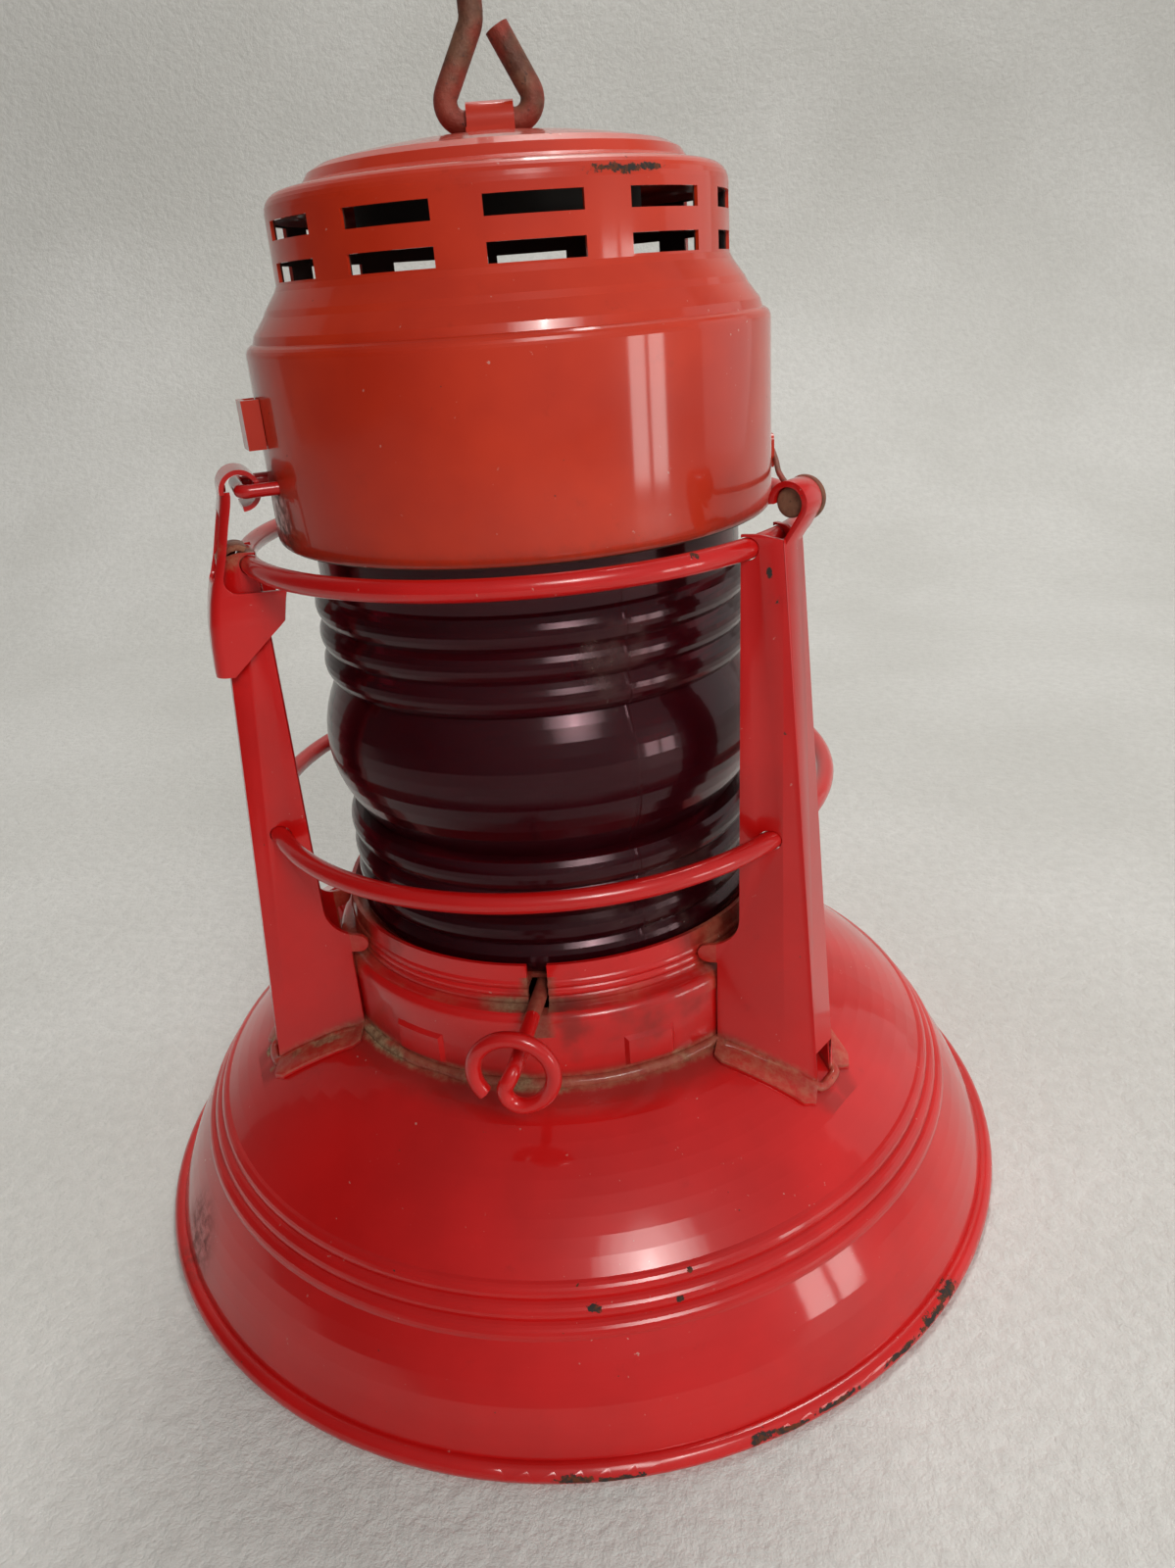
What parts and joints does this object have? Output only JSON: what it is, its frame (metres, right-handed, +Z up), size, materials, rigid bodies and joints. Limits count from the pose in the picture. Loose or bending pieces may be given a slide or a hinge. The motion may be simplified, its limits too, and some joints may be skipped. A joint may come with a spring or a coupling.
{
  "type": "kerosene lantern",
  "caption": "Kerosene warning lantern with a bell-shaped tank, ribbed ruby globe in a wire guard, hinged vented canopy with a hasp, wick burner and wire hanger.",
  "frame": {"origin": "Centre of the foot rim, on the ground that the lantern stands on.", "axes": "+Z is up. The wick winder points to -Y. Round the axis from +X, the hinge post stands at -30 degrees, the latch post at -150 and the rear post at 90."},
  "size_m": [0.2, 0.2, 0.2984],
  "materials": {
    "deep_red_paint": "worn gloss enamel, deep red",
    "orange_red_paint": "worn gloss enamel, orange red",
    "rusty_steel": "rusted wire",
    "tinned_steel": "dull tin plate",
    "burner_brass": "dull, sooted",
    "ruby_glass": "dark ruby pressed glass",
    "wick_cotton": "woven cotton",
    "gasket_leather": "oiled"
  },
  "bodies": {
    "frame": {"fount_dome": "deep_red_paint", "fount_bottom": "deep_red_paint", "fount_collar": "deep_red_paint", "filler_neck": "deep_red_paint", "burner_gallery": "deep_red_paint", "burner_body": "burner_brass", "wick_tube": "burner_brass", "burner_cone": "burner_brass", "hinge_post": "deep_red_paint", "latch_post": "deep_red_paint", "rear_post": "deep_red_paint", "upper_guard_ring": "deep_red_paint", "lower_guard_ring": "deep_red_paint", "globe": "ruby_glass", "hinge_pin": "rusty_steel"},
    "canopy": {"canopy_shell": "orange_red_paint", "draft_baffle": "tinned_steel", "globe_holder": "tinned_steel", "hinge_leaf": "orange_red_paint", "leaf_rivets": "orange_red_paint", "latch_staple": "deep_red_paint", "side_lug": "orange_red_paint", "hanger_strap": "orange_red_paint"},
    "hasp": {"latch_hasp": "deep_red_paint"},
    "hanger": {"hanger_wire": "rusty_steel"},
    "winder": {"wick_winder": "deep_red_paint", "wick_wheels": "tinned_steel"},
    "wick_strip": {"wick": "wick_cotton"},
    "gasket": {"filler_gasket": "gasket_leather"},
    "cap": {"filler_cap": "deep_red_paint"}
  },
  "joints": [
    {"name": "canopy_hinge", "type": "hinge", "parent": "frame", "child": "canopy", "pos_m": [0.05326, -0.03075, 0.158], "axis": [0.5, 0.866, 0], "range_deg": [0, 105]},
    {"name": "hasp_swing", "type": "hinge", "parent": "canopy", "child": "hasp", "pos_m": [-0.04746, -0.0274, 0.164], "axis": [-0.5, 0.866, 0], "range_deg": [0, 95]},
    {"name": "hanger_swing", "type": "hinge", "parent": "canopy", "child": "hanger", "pos_m": [0, 0, 0.22085], "axis": [0.9781, 0.2079, 0], "range_deg": [-75, 75]},
    {"name": "winder_turn", "type": "hinge", "parent": "frame", "child": "winder", "pos_m": [0.00455, 0, 0.06745], "axis": [0, 1, 0], "range_deg": [-95, 55]},
    {"name": "wick_lift", "type": "slide", "parent": "frame", "child": "wick_strip", "axis": [0, 0, 1], "range_m": [-0.005, 0.003]},
    {"name": "cap_lift", "type": "slide", "parent": "frame", "child": "gasket", "axis": [-0.4684, 0.1892, 0.863], "range_m": [0, 0.0061]},
    {"name": "cap_turn", "type": "hinge", "parent": "gasket", "child": "cap", "pos_m": [-0.06119, 0.02472, 0.04311], "axis": [-0.4684, 0.1892, 0.863], "range_deg": [0, 540]}
  ],
  "couplings": [
    {"joint": "wick_lift", "follows": "winder_turn", "m_per_rad": 0.00295},
    {"joint": "cap_lift", "follows": "cap_turn", "m_per_rad": 0.00063662}
  ]
}
